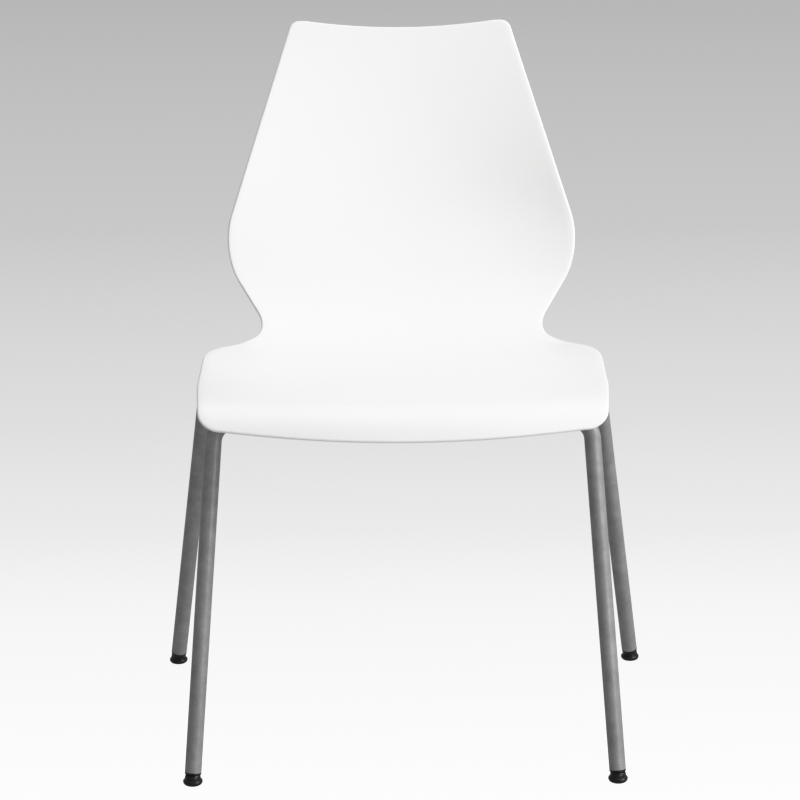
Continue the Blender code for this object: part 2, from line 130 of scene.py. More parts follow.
# Steel frame
TUBE_RADIUS = 0.0095
TUBE_WALL = 0.0012
TUBE_SIDES = 48
TUBE_CHAMFER = 0.0003
BEND_RADIUS = 0.0235
BEND_STEPS = 24
RAIL_Z = 0.404
FOOT_ENDS = {"front": (0.2410, -0.2465, 0.0142), "rear": (0.2835, 0.1555, 0.0168)}
KNEES = {"front": (0.2125, -0.1630), "rear": (0.2310, 0.0220)}
SIDE_RAIL_X = 0.130
SIDE_RAIL_RADIUS = 0.008
WELD_RADIUS = 0.0017
WELD_RIPPLE = 0.14               # share of a bead's radius by which its ripples stand out
WELD_RIPPLE_STEPS = 3            # rings from one ripple to the next
WELD_PITCH = 0.0018              # distance between the rings of a plate's bead
WELD_SIDES = 12
WELD_RISE = 0.7                  # height of a plate's beads on the tube, as a share of its radius

# Seat plates, screws and washers
PLATE_CORNER = 0.004
PLATE_EDGE = 0.0004
SCREW_PLACES = {"front": (0.092, -0.1420), "rear": (0.092, 0.0010)}
SCREW_RADIUS = 0.0024
SCREW_TIP = 0.6                  # share of its radius that a screw keeps at its tip
HEAD_RADIUS = 0.0046
HEAD_HEIGHT = 0.0028
HEAD_ROUNDING = 0.0011
RECESS_WIDTH = 0.0010
RECESS_LENGTH = 0.0048
RECESS_DEPTH = 0.0017
RECESS_FLOOR = (0.4, 0.76)       # share of its length and width that a recess keeps at its floor
HOLE_RADIUS = 0.0027
WASHER_RADIUS = 0.0062
WASHER_EDGE = 0.0002

# Stacking bumpers
BUMPER_WALL = 0.0028
BUMPER_PAD = 0.0055              # how far the pad stands below the tube
BUMPER_PAD_HALF = 0.0075
BUMPER_MOUTH = 105               # degrees of the clip that are open
BUMPER_INNER_STEPS = 28
BUMPER_OUTER_STEPS = 9
BUMPER_EDGE = 0.0006

# Glides, about their ball's centre
BALL_RADIUS = 0.0066
NECK_RADIUS = 0.0032
COLLAR_THICKNESS = 0.0012
COLLAR_EDGE = 0.0003
SKIRT_BOTTOM = 0.0042
SKIRT_RADIUS = 0.0091
PLUG_LENGTH = 0.018
PLUG_LEAD = 0.0015
DOME_RADIUS = 0.0092
DOME_MOUTH = 30
FOOT_RADIUS = 0.01125
FOOT_EDGE = 0.0026
FLANGE_SLOPE = 68                # degrees of the rounding at which the flange's top begins
FLANGE_HEIGHT = 0.0070           # of the flange's top above the floor
COVE_RADIUS = 0.0003
DIMPLE_RADIUS = 0.0035           # shallow dimple in the middle of a foot's sole
DIMPLE_DEPTH = 0.0004
TURNED_SIDES = 64
BALL_STEPS = 24
POCKET_STEPS = 12
FLANGE_STEPS = 12
HEEL_STEPS = 14

# Camera and studio
CAMERA_TARGET = Vector((-0.0030, -0.1000, 0.4107))
CAMERA_DISTANCE = 3.558
CAMERA_ELEVATION = math.radians(15.1)
CAMERA_ROLL = math.radians(-0.42)
CAMERA_LENS = 139.5
CAMERA_REACH = 200.0             # farthest distance that the camera shows
# Film response: light that arrives and light that is shown, with a soft shoulder to white
FILM_CURVE = (
    (0.00, 0.00),
    (0.50, 0.50),
    (0.75, 0.74),
    (0.90, 0.865),
    (1.00, 0.92),
    (1.12, 0.952),
    (1.28, 0.983),
    (1.50, 1.00),
)
WHOLE_CURVE = 3                  # the film curve that acts on all three colours together
SRGB_OFFSET = 0.055
SRGB_POWER = 2.4
FLOOR_SIZE = 60.0
# Brightness of the floor on the screen at distances behind the chair: y, grey from 0 to 255
FLOOR_GREYS = (
    (-0.6, 254),
    (0.0, 250),
    (0.7, 234),
    (1.3, 222),
    (2.8, 200),
    (6.5, 182),
)
FLOOR_MATTE = 0.05               # share of the floor's brightness that the lights give
WORLD_LIGHT = 0.385
# Area lights: name, place, width, power in watts
LIGHTS = (
    ("key_light", (2.9, -1.05, 2.0), 1.6, 108.0),
    ("top_light", (0.2, 0.35, 3.2), 2.2, 28.0),
    ("low_light", (2.3, -2.5, 0.5), 1.2, 30.0),
)
LIGHT_AIM = Vector((0.0, 0.0, 0.45))

# Materials
NOISE_SPAN = (0.3, 0.7)          # most of a noise's values lie in this range
NOISE_CORE = (0.35, 0.65)        # a narrower range, for patches with clearer edges
FULL_SPAN = (0.0, 1.0)
SCRATCH_SPAN = (0.48, 0.66)      # the upper part of a noise, so that scratches stay apart
SCUFF_HEIGHTS = (0.0004, 0.0035)  # heights at which scuffs are fullest and at which they end
# Sockets of the colour Mix node, by number because their names repeat
MIX_SHARE = 0
MIX_COLOURS = (6, 7)
MIX_RESULT = 2


# ---------------------------------------------------------------- meshes

def mesh_object(name, vertices, faces, surface, smooth_angle=SHARP_ANGLE):
    """A closed mesh as a new object with one material and smooth shading on round faces."""
    mesh = bpy.data.meshes.new(name)
    mesh.from_pydata([tuple(vertex) for vertex in vertices], [], faces)
    bm = bmesh.new()
    bm.from_mesh(mesh)
    bmesh.ops.recalc_face_normals(bm, faces=bm.faces)
    bm.to_mesh(mesh)
    bm.free()
    mesh.materials.append(surface)
    mesh.shade_smooth()
    mesh.set_sharp_from_angle(angle=math.radians(smooth_angle))
    piece = bpy.data.objects.new(name, mesh)
    bpy.context.scene.collection.objects.link(piece)
    return piece


def band(first, first_count, second, second_count):
    """Faces between two rings of vertices, either of which may be a single one."""
    count = max(first_count, second_count)
    faces = []
    for side in range(count):
        after = (side + 1) % count
        if first_count == 1:
            faces.append((first, second + side, second + after))
        elif second_count == 1:
            faces.append((first + side, second, first + after))
        else:
            faces.append((first + side, second + side, second + after, first + after))
    return faces


def skin(name, rings, surface, loop_back=False):
    """A closed mesh over rings of points. A ring of one point is a pole."""
    starts = [0]
    for ring in rings:
        starts.append(starts[-1] + len(ring))
    pairs = [(index, index + 1) for index in range(len(rings) - 1)]
    if loop_back:
        pairs.append((len(rings) - 1, 0))
    faces = []
    for first, second in pairs:
        faces += band(starts[first], len(rings[first]), starts[second], len(rings[second]))
    return mesh_object(name, [point for ring in rings for point in ring], faces, surface)


def rounded_path(corners, radii, steps):
    """Points along straight runs whose inner corners are replaced by arcs."""
    corners = [Vector(corner) for corner in corners]
    path = [corners[0]]
    for before, corner, after, radius in zip(corners, corners[1:], corners[2:], radii):
        if radius == 0.0:
            path.append(corner)
            continue
        to_before = (before - corner).normalized()
        to_after = (after - corner).normalized()
        half_angle = to_before.angle(to_after) / 2
        bisector = (to_before + to_after).normalized()
        centre = corner + bisector * radius / math.sin(half_angle)
        across = (to_after - to_before).normalized()
        sweep = math.pi / 2 - half_angle
        for step in range(steps + 1):
            turn = sweep * (2 * step / steps - 1)
            path.append(centre + (across * math.sin(turn) - bisector * math.cos(turn)) * radius)
    path.append(corners[-1])
    return path


def stepped(path, spacing):
    """The path with every run longer than the spacing cut into equal steps."""
    points = [path[0]]
    for start, end in zip(path, path[1:]):
        pieces = max(1, math.ceil((end - start).length / spacing))
        for piece in range(1, pieces + 1):
            points.append(start.lerp(end, piece / pieces))
    return points


def arc(centre, radius, start_degrees, end_degrees, steps):
    """Points on an arc in a plane."""
    points = []
    for step in range(steps + 1):
        angle = math.radians(start_degrees + (end_degrees - start_degrees) * step / steps)
        points.append((centre[0] + radius * math.cos(angle), centre[1] + radius * math.sin(angle)))
    return points


def turned(name, profile, surface, place):
    """A solid of revolution from (radius, height) points that start and end on the axis."""
    rings = []
    for radius, height in profile:
        if radius < ON_AXIS:
            rings.append([place @ Vector((0.0, 0.0, height))])
            continue
        ring = []
        for side in range(TURNED_SIDES):
            angle = 2 * math.pi * side / TURNED_SIDES
            x = radius * math.cos(angle)
            y = radius * math.sin(angle)
            ring.append(place @ Vector((x, y, height)))
        rings.append(ring)
    return skin(name, rings, surface)


def eased(stations, distance):
    """A value that eases from one station to the next."""
    if distance <= stations[0][0]:
        return stations[0][1]
    for (start, low), (end, high) in zip(stations, stations[1:]):
        if distance <= end:
            part = (distance - start) / (end - start)
            return low + (high - low) * part * part * (3 - 2 * part)
    return stations[-1][1]


def baked(piece):
    """Turns a piece's modifiers into mesh and marks its sharp edges afresh."""
    bpy.context.view_layer.update()
    evaluated = piece.evaluated_get(bpy.context.evaluated_depsgraph_get())
    mesh = bpy.data.meshes.new_from_object(evaluated)
    piece.modifiers.clear()
    piece.data = mesh
    mesh.shade_smooth()
    mesh.set_sharp_from_angle(angle=math.radians(SHARP_ANGLE))
    return piece


def combined(piece, tool, operation):
    """Adds the tool to the piece or cuts it away, and removes the tool."""
    modifier = piece.modifiers.new(tool.name, "BOOLEAN")
    modifier.operation = operation
    modifier.solver = "EXACT"
    modifier.object = tool
    baked(piece)
    bpy.data.objects.remove(tool, do_unlink=True)


def bevelled(piece, width, segments=3):
    modifier = piece.modifiers.new("edges", "BEVEL")
    modifier.width = width
    modifier.segments = segments
    modifier.limit_method = "ANGLE"
    modifier.angle_limit = math.radians(SHARP_ANGLE)
    modifier.harden_normals = False
    return baked(piece)


def settle(piece, body, slot, *nodes):
    """The piece rides on a body and stands for CAD nodes, which it hides. The slot is not used."""
    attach(piece, body)
    if nodes:
        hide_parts(*nodes)


# ---------------------------------------------------------------- materials

def start_material(name, colour, roughness, metallic=0.0):
    """A Principled material with its texture coordinates, in the object's own metres."""
    made = bpy.data.materials.new(name)
    made.use_nodes = True
    shader = made.node_tree.nodes["Principled BSDF"]
    shader.inputs["Base Color"].default_value = (*colour, 1.0)
    shader.inputs["Roughness"].default_value = roughness
    shader.inputs["Metallic"].default_value = metallic
    coordinates = made.node_tree.nodes.new("ShaderNodeTexCoord").outputs["Object"]
    return made, shader, coordinates


def noise(made, coordinates, scale, detail=2.0, roughness=0.5):
    node = made.node_tree.nodes.new("ShaderNodeTexNoise")
    node.inputs["Scale"].default_value = scale
    node.inputs["Detail"].default_value = detail
    node.inputs["Roughness"].default_value = roughness
    made.node_tree.links.new(coordinates, node.inputs["Vector"])
    return node.outputs["Fac"]


def mapped(made, value, span, low, high):
    """The value moved from a span to another range, and kept within it."""
    node = made.node_tree.nodes.new("ShaderNodeMapRange")
    node.inputs["From Min"].default_value = span[0]
    node.inputs["From Max"].default_value = span[1]
    node.inputs["To Min"].default_value = low
    node.inputs["To Max"].default_value = high
    made.node_tree.links.new(value, node.inputs["Value"])
    return node.outputs["Result"]


def mixed(made, share, first, second):
    """A colour between two, each given as numbers or as another node's output."""
    node = made.node_tree.nodes.new("ShaderNodeMix")
    node.data_type = "RGBA"
    made.node_tree.links.new(share, node.inputs[MIX_SHARE])
    for socket, colour in zip(MIX_COLOURS, (first, second)):
        if isinstance(colour, tuple):
            node.inputs[socket].default_value = (*colour, 1.0)
        else:
            made.node_tree.links.new(colour, node.inputs[socket])
    return node.outputs[MIX_RESULT]


def coloured(made, shader, share, first, second):
    """Lets a share move the shader's colour from the first to the second."""
    made.node_tree.links.new(mixed(made, share, first, second), shader.inputs["Base Color"])


def roughened(made, shader, value, span, low, high):
    """Lets a value vary the shader's roughness."""
    made.node_tree.links.new(mapped(made, value, span, low, high), shader.inputs["Roughness"])


def multiplied(made, first, second):
    node = made.node_tree.nodes.new("ShaderNodeMath")
    node.operation = "MULTIPLY"
    made.node_tree.links.new(first, node.inputs[0])
    made.node_tree.links.new(second, node.inputs[1])
    return node.outputs[0]


def bumped(made, shader, height, strength, distance, under=None):
    """Adds a bump to the shader, over an earlier one if there is one."""
    node = made.node_tree.nodes.new("ShaderNodeBump")
    node.inputs["Strength"].default_value = strength
    node.inputs["Distance"].default_value = distance
    made.node_tree.links.new(height, node.inputs["Height"])
    if under is not None:
        made.node_tree.links.new(under, node.inputs["Normal"])
    made.node_tree.links.new(node.outputs["Normal"], shader.inputs["Normal"])
    return node.outputs["Normal"]


def height_above_floor(made, coordinates):
    node = made.node_tree.nodes.new("ShaderNodeSeparateXYZ")
    made.node_tree.links.new(coordinates, node.inputs[0])
    return node.outputs["Z"]


def shell_material():
    """White moulded polypropylene: satin, with a fine spark-eroded texture."""
    made, shader, coordinates = start_material(
        "white_polypropylene", (0.90, 0.90, 0.895), roughness=0.42)
    shader.inputs["Specular IOR Level"].default_value = 0.45
    cloud = noise(made, coordinates, scale=7.0, detail=3.0)
    tint = mapped(made, cloud, NOISE_SPAN, 0.0, 1.0)
    coloured(made, shader, tint, (0.880, 0.881, 0.877), (0.905, 0.905, 0.900))
    patches = noise(made, coordinates, scale=90.0, detail=4.0, roughness=0.6)
    roughened(made, shader, patches, NOISE_SPAN, low=0.37, high=0.47)
    waves = noise(made, coordinates, scale=22.0, detail=1.0)
    moulded = bumped(made, shader, waves, strength=0.10, distance=0.0006)
    grain = noise(made, coordinates, scale=1600.0, roughness=0.6)
    bumped(made, shader, grain, strength=0.12, distance=0.0002, under=moulded)
    return made


def paint_material():
    """Silver-grey powder coat: a fine metallic speckle and cloudy patches over orange peel."""
    made, shader, coordinates = start_material(
        "silver_powder_coat", (0.24, 0.24, 0.243), roughness=0.5, metallic=0.25)
    shader.inputs["Specular IOR Level"].default_value = 0.3
    shader.inputs["Coat Weight"].default_value = 0.15
    shader.inputs["Coat Roughness"].default_value = 0.22
    flakes = noise(made, coordinates, scale=1500.0, roughness=0.7)
    speckle = mapped(made, flakes, NOISE_CORE, 0.0, 1.0)
    fine = mixed(made, speckle, (0.165, 0.165, 0.167), (0.252, 0.253, 0.257))
    clouds = noise(made, coordinates, scale=55.0, detail=4.0, roughness=0.65)
    mottle = mapped(made, clouds, NOISE_CORE, 0.0, 0.5)
    coloured(made, shader, mottle, fine, (0.330, 0.330, 0.334))
    patches = noise(made, coordinates, scale=160.0, detail=3.0, roughness=0.6)
    roughened(made, shader, patches, NOISE_SPAN, low=0.47, high=0.61)
    peel = noise(made, coordinates, scale=420.0)
    peeled = bumped(made, shader, peel, strength=0.22, distance=0.0004)
    grain = noise(made, coordinates, scale=2200.0, detail=1.0)
    bumped(made, shader, grain, strength=0.10, distance=0.0001, under=peeled)
    return made


def zinc_material():
    """Zinc plate on the screws and washers, slightly cloudy."""
    made, shader, coordinates = start_material(
        "zinc_plate", (0.62, 0.63, 0.65), roughness=0.3, metallic=1.0)
    clouds = noise(made, coordinates, scale=500.0, detail=4.0, roughness=0.6)
    share = mapped(made, clouds, NOISE_CORE, 0.0, 1.0)
    coloured(made, shader, share, (0.52, 0.53, 0.55), (0.68, 0.69, 0.69))
    roughened(made, shader, share, FULL_SPAN, low=0.24, high=0.42)
    grain = noise(made, coordinates, scale=3000.0)
    bumped(made, shader, grain, strength=0.10, distance=0.00005)
    return made


def glide_material():
    """Black moulded nylon, scuffed grey where it meets the floor."""
    clean = (0.007, 0.007, 0.008)
    made, shader, coordinates = start_material("black_nylon", clean, roughness=0.34)
    shader.inputs["Specular IOR Level"].default_value = 0.28
    near_floor = mapped(made, height_above_floor(made, coordinates), SCUFF_HEIGHTS, 1.0, 0.0)
    marks = noise(made, coordinates, scale=900.0, detail=5.0, roughness=0.7)
    scratches = mapped(made, marks, SCRATCH_SPAN, 0.0, 1.0)
    scuffs = multiplied(made, near_floor, scratches)
    coloured(made, shader, scuffs, clean, (0.060, 0.058, 0.056))
    patches = noise(made, coordinates, scale=300.0, detail=3.0)
    roughened(made, shader, patches, NOISE_SPAN, low=0.28, high=0.42)
    grain = noise(made, coordinates, scale=1300.0, detail=3.0, roughness=0.6)
    bumped(made, shader, grain, strength=0.18, distance=0.0001)
    return made


def bumper_material():
    """Black moulded plastic with a matte texture."""
    made, shader, coordinates = start_material(
        "black_bumper_plastic", (0.018, 0.018, 0.019), roughness=0.55)
    clouds = noise(made, coordinates, scale=250.0, detail=4.0, roughness=0.6)
    share = mapped(made, clouds, NOISE_CORE, 0.0, 1.0)
    coloured(made, shader, share, (0.014, 0.014, 0.015), (0.028, 0.028, 0.029))
    roughened(made, shader, share, FULL_SPAN, low=0.48, high=0.64)
    grain = noise(made, coordinates, scale=1800.0)
    bumped(made, shader, grain, strength=0.35, distance=0.00015)
    return made


SHELL = shell_material()
PAINT = paint_material()
ZINC = zinc_material()
NYLON = glide_material()
BUMPER = bumper_material()


# ---------------------------------------------------------------- shell

def side_profile():
    """The side profile as closely spaced (y, z) points, with its curvature eased."""
    corners = [(y, z) for y, z, _ in SIDE_PROFILE]
    radii = [radius for _, _, radius in SIDE_PROFILE[1:-1]]
    points = stepped(rounded_path(corners, radii, PROFILE_ARC_STEPS), PROFILE_STEP)
    for _ in range(PROFILE_SMOOTHING):
        middle = [(a + 2 * b + c) / 4 for a, b, c in zip(points, points[1:], points[2:])]
        points = [points[0]] + middle + [points[-1]]
    return points


PROFILE = side_profile()
PROFILE_DISTANCES = [0.0]
for profile_start, profile_end in zip(PROFILE, PROFILE[1:]):
    PROFILE_DISTANCES.append(PROFILE_DISTANCES[-1] + (profile_end - profile_start).length)


def profile_slope(index):
    """Direction of the side profile at one of its points."""
    before = PROFILE[max(0, index - 1)]
    after = PROFILE[min(len(PROFILE) - 1, index + 1)]
    return (after - before).normalized()


def profile_frame(distance):
    """Point on the side profile and the direction square to it, up and forwards."""
    index = bisect.bisect_right(PROFILE_DISTANCES, distance)
    index = max(1, min(len(PROFILE) - 1, index))
    start = PROFILE_DISTANCES[index - 1]
    part = (distance - start) / (PROFILE_DISTANCES[index] - start)
    point = PROFILE[index - 1].lerp(PROFILE[index], part)
    along = profile_slope(index - 1).lerp(profile_slope(index), part).normalized()
    return point, Vector((-along.y, along.x))


def shell_point(across, row_distance, half_width):
    """Top face of the shell at a distance across from the centre plane."""
    middle = 1 - (across / half_width) ** 2
    front = max(0.0, 1 - (row_distance - FRONT_EDGE) / FRONT_FADE)
    top = max(0.0, 1 - (TOP_EDGE - row_distance) / TOP_FADE)
    distance = row_distance - middle * (FRONT_BOW * front ** 2 + TOP_DIP * top ** 2)
    point, normal = profile_frame(distance)
    rise = eased(DISH_STATIONS, distance) * (across / DISH_REFERENCE) ** 2
    point = point + normal * rise
    return Vector((across, point.x, point.y))


def shell_place(across, row_distance, half_width, depth):
    """A point at a depth below the top face, square to it."""
    point = shell_point(across, row_distance, half_width)
    if depth == 0.0:
        return point
    right = shell_point(across + SLOPE_STEP, row_distance, half_width) - point
    onward = shell_point(across, row_distance + SLOPE_STEP, half_width) - point
    return point - right.cross(onward).normalized() * depth


def outline_rows():
    """Rows across the shell: distance, half width, and the outline's outward direction."""
    corners = [(distance, width) for distance, width, _ in HALF_OUTLINE]
    radii = [radius for _, _, radius in HALF_OUTLINE[1:-1]]
    outline = stepped(rounded_path(corners, radii, ARC_STEPS), ROW_STEP)[1:-1]
    rows = []
    for index, point in enumerate(outline):
        before = outline[max(0, index - 1)]
        after = outline[min(len(outline) - 1, index + 1)]
        along = (after - before).normalized()
        outward = Vector((-along.y, along.x))
        if index == 0:
            outward = Vector((-1.0, 0.0))
        if index == len(outline) - 1:
            outward = Vector((1.0, 0.0))
        rows.append((point, outward))
    return rows


def rim_sections():
    """How far out and how deep the points of the rounded rim lie, from top to bottom."""
    half = SHELL_THICKNESS / 2
    sections = []
    for step in range(1, RIM_STEPS):
        angle = math.pi * step / RIM_STEPS
        sections.append((RIM_RADIUS * math.sin(angle), half - half * math.cos(angle)))
    return sections


def make_shell():
    """Seat and back in one moulding with a rounded rim."""
    rows = outline_rows()
    vertices = []
    for depth in (0.0, SHELL_THICKNESS):
        for point, outward in rows:
            inner = point - outward * RIM_RADIUS
            for column in range(COLUMNS + 1):
                across = inner.y * (2 * column / COLUMNS - 1)
                vertices.append(shell_place(across, inner.x, point.y, depth))
    width = COLUMNS + 1
    under = len(rows) * width
    faces = []
    for row in range(len(rows) - 1):
        for column in range(COLUMNS):
            corner = row * width + column
            quad = (corner, corner + 1, corner + 1 + width, corner + width)
            faces.append(quad)
            faces.append(tuple(under + index for index in reversed(quad)))

    last = len(rows) - 1
    border = [(0, column) for column in range(COLUMNS)]
    border += [(row, COLUMNS) for row in range(last)]
    border += [(last, column) for column in range(COLUMNS, 0, -1)]
    border += [(row, 0) for row in range(last, 0, -1)]
    loops = [[row * width + column for row, column in border]]
    for out, depth in rim_sections():
        loop = []
        for row, column in border:
            point, outward = rows[row]
            side = 2 * column / COLUMNS - 1
            if 0 < column < COLUMNS:
                outward = Vector((-1.0, 0.0)) if row == 0 else Vector((1.0, 0.0))
            inner = point - rows[row][1] * RIM_RADIUS
            across = inner.y * side + math.copysign(outward.y * out, side)
            loop.append(len(vertices))
            vertices.append(shell_place(across, inner.x + outward.x * out, point.y, depth))
        loops.append(loop)
    loops.append([under + row * width + column for row, column in border])
    for upper, lower in zip(loops, loops[1:]):
        for index in range(len(border)):
            after = (index + 1) % len(border)
            faces.append((upper[index], lower[index], lower[after], upper[after]))
    shell = mesh_object("shell_moulding", vertices, faces, SHELL, SHELL_SHARP_ANGLE)
    settle(shell, "chair", "shell_plastic", "seat_shell")


def underside_height(x, y):
    """Height of the shell's underside at a place on the seat."""
    for step in range(HEIGHT_STEPS):
        distance = PROFILE_DISTANCES[-1] * step / HEIGHT_STEPS
        point = shell_place(x, distance, SEAT_HALF_WIDTH, SHELL_THICKNESS)
        if point.y >= y:
            return point.z
    raise ValueError("outside the seat")


def make_bosses():
    """Four braced screw bosses under the seat, and the moulding gate in its middle."""
    for corner, end, sign in CORNERS:
        x = sign * SCREW_PLACES[end][0]
        y = SCREW_PLACES[end][1]
        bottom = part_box(f"{corner}_seat_plate")[1].z + GAP
        under = underside_height(x, y) - bottom
        top = under + BOSS_ROOT
        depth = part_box(f"{corner}_seat_screw")[1].z - bottom + GAP
        place = Matrix.Translation((x, y, bottom))
        foot = BOSS_RADIUS + BOSS_FILLET
        fillet = arc((foot, under - BOSS_FILLET), BOSS_FILLET, 90, 180, FILLET_STEPS)
        profile = [(0.0, top), (foot, top)] + fillet
        profile += [(BOSS_RADIUS, 0.0), (HOLE_RADIUS, 0.0), (HOLE_RADIUS, depth), (0.0, depth)]
        boss = turned(f"{corner}_screw_boss", profile, SHELL, place)
        length, thickness = BOSS_WEB
        for axis in range(2):
            half = [thickness / 2, thickness / 2]
            half[axis] = length / 2
            web = web_mesh(f"{corner}_web_{axis}", half, WEB_START * under, top)
            web.data.transform(place)
            combined(boss, web, "UNION")
        bore = [(0.0, depth), (HOLE_RADIUS, depth), (HOLE_RADIUS, -GAP), (0.0, -GAP)]
        combined(boss, turned(f"{corner}_bore", bore, SHELL, place), "DIFFERENCE")
        settle(boss, "chair", "shell_plastic")
    gate_top = underside_height(0.0, 0.0)
    rounded = arc((GATE_RADIUS - GATE_HEIGHT, 0.0), GATE_HEIGHT, 0, -90, FILLET_STEPS)
    profile = [(0.0, GATE_HEIGHT), (GATE_RADIUS, GATE_HEIGHT)] + rounded + [(0.0, -GATE_HEIGHT)]
    gate = turned("moulding_gate", profile, SHELL, Matrix.Translation((0.0, 0.0, gate_top)))
    settle(gate, "chair", "shell_plastic")


def web_mesh(name, half, bottom, top):
    """A bracing web whose lower corners are cut off at a slope."""
    long_axis = 0 if half[0] > half[1] else 1
    shoulder = BOSS_RADIUS + BOSS_FILLET
    sloped = bottom + WEB_SLOPE * (top - bottom)
    outline = (
        (-half[long_axis], top), (-half[long_axis], sloped), (-shoulder, bottom),
        (shoulder, bottom), (half[long_axis], sloped), (half[long_axis], top),
    )
    rings = []
    for side in (-1, 1):
        ring = []
        for along, height in outline:
            place = [0.0, 0.0, height]
            place[long_axis] = along
            place[1 - long_axis] = side * half[1 - long_axis]
            ring.append(Vector(place))
        rings.append(ring)
    count = len(outline)
    faces = band(0, count, count, count)
    faces += [tuple(range(count)), tuple(range(count, 2 * count))]
    return mesh_object(name, rings[0] + rings[1], faces, SHELL)


# ---------------------------------------------------------------- frame

def circle(centre, across, up, radius, sides):
    """A ring of points round a centre."""
    points = []
    for side in range(sides):
        angle = 2 * math.pi * side / sides
        points.append(centre + (across * math.cos(angle) + up * math.sin(angle)) * radius)
    return points


def leg_axis(end, sign):
    """Lower end and upper corner of one leg's axis."""
    foot = FOOT_ENDS[end]
    knee = KNEES[end]
    return Vector((sign * foot[0], foot[1], foot[2])), Vector((sign * knee[0], knee[1], RAIL_Z))


def make_leg_frame(end):
    """Two legs and the rail between them, bent from one tube, with deburred ends."""
    left_end, left_knee = leg_axis(end, -1)
    right_end, right_knee = leg_axis(end, 1)
    corners = (left_end, left_knee, right_knee, right_end)
    path = rounded_path(corners, (BEND_RADIUS, BEND_RADIUS), BEND_STEPS)
    down_left = (left_end - left_knee).normalized() * TUBE_CHAMFER
    down_right = (right_end - right_knee).normalized() * TUBE_CHAMFER
    path = [path[0], path[0] - down_left] + path[1:-1] + [path[-1] - down_right, path[-1]]
    normal = (left_knee - left_end).cross(right_knee - left_knee).normalized()
    outer = []
    inner = []
    for index, point in enumerate(path):
        before = path[max(index - 1, 0)]
        after = path[min(index + 1, len(path) - 1)]
        across = normal.cross((after - before).normalized()).normalized()
        at_end = index in (0, len(path) - 1)
        outer_radius = TUBE_RADIUS - TUBE_CHAMFER if at_end else TUBE_RADIUS
        outer.append(circle(point, across, normal, outer_radius, TUBE_SIDES))
        inner.append(circle(point, across, normal, TUBE_RADIUS - TUBE_WALL, TUBE_SIDES))
    tube = skin(f"{end}_leg_tube", outer + inner[::-1], PAINT, loop_back=True)
    settle(tube, "chair", "tube_paint", f"{end}_leg_frame")


def coped_ring(x, y, facing, radius):
    """End of a side rail, cut to the round of the cross rail that it meets."""
    ring = []
    for side in range(TUBE_SIDES):
        angle = 2 * math.pi * side / TUBE_SIDES
        height = radius * math.sin(angle)
        reach = math.sqrt((TUBE_RADIUS + GAP) ** 2 - height ** 2)
        ring.append(Vector((x + radius * math.cos(angle), y + facing * reach, RAIL_Z + height)))
    return ring


def weld_bead(name, path, outward, closed):
    """A rippled bead along a path, with a point at each end if it isn't closed."""
    rings = []
    count = len(path)
    for index, point in enumerate(path):
        before = path[(index - 1) % count] if closed else path[max(0, index - 1)]
        after = path[(index + 1) % count] if closed else path[min(count - 1, index + 1)]
        along = (after - before).normalized()
        up = outward[index]
        across = along.cross(up).normalized()
        radius = WELD_RADIUS
        if index % WELD_RIPPLE_STEPS == 0:
            radius = WELD_RADIUS * (1 + WELD_RIPPLE)
        rings.append(circle(point, across, across.cross(along), radius, WELD_SIDES))
    if not closed:
        start = path[0] - (path[1] - path[0])
        end = path[-1] + (path[-1] - path[-2])
        rings = [[start]] + rings + [[end]]
    bead = skin(name, rings, PAINT, loop_back=closed)
    settle(bead, "chair", "tube_paint")


def make_side_rails():
    """Short tubes between the two cross rails, coped and welded all round at both ends."""
    for side, sign in SIDES:
        x = sign * SIDE_RAIL_X
        ends = ((KNEES["front"][1], 1), (KNEES["rear"][1], -1))
        outer = [coped_ring(x, y, facing, SIDE_RAIL_RADIUS) for y, facing in ends]
        inner = [coped_ring(x, y, facing, SIDE_RAIL_RADIUS - TUBE_WALL) for y, facing in ends]
        rail = skin(f"{side}_rail_tube", outer + inner[::-1], PAINT, loop_back=True)
        settle(rail, "chair", "tube_paint", f"{side}_side_rail")
        for end, (y, facing) in zip(ENDS, ends):
            path = coped_ring(x, y, facing, SIDE_RAIL_RADIUS)
            outward = [Vector((point.x - x, 0.0, point.z - RAIL_Z)).normalized() for point in path]
            weld_bead(f"{end}_{side}_rail_weld", path, outward, True)


def rounded_rectangle(low, high, inset, height):
    """Points round a rectangle with round corners, drawn in by an inset."""
    radius = PLATE_CORNER - inset
    centres = (
        (high.x - PLATE_CORNER, high.y - PLATE_CORNER, 0),
        (low.x + PLATE_CORNER, high.y - PLATE_CORNER, 90),
        (low.x + PLATE_CORNER, low.y + PLATE_CORNER, 180),
        (high.x - PLATE_CORNER, low.y + PLATE_CORNER, 270),
    )
    points = []
    for x, y, start in centres:
        corner = arc((x, y), radius, start, start + 90, CORNER_STEPS)
        points += [Vector((*point, height)) for point in corner]
    return points


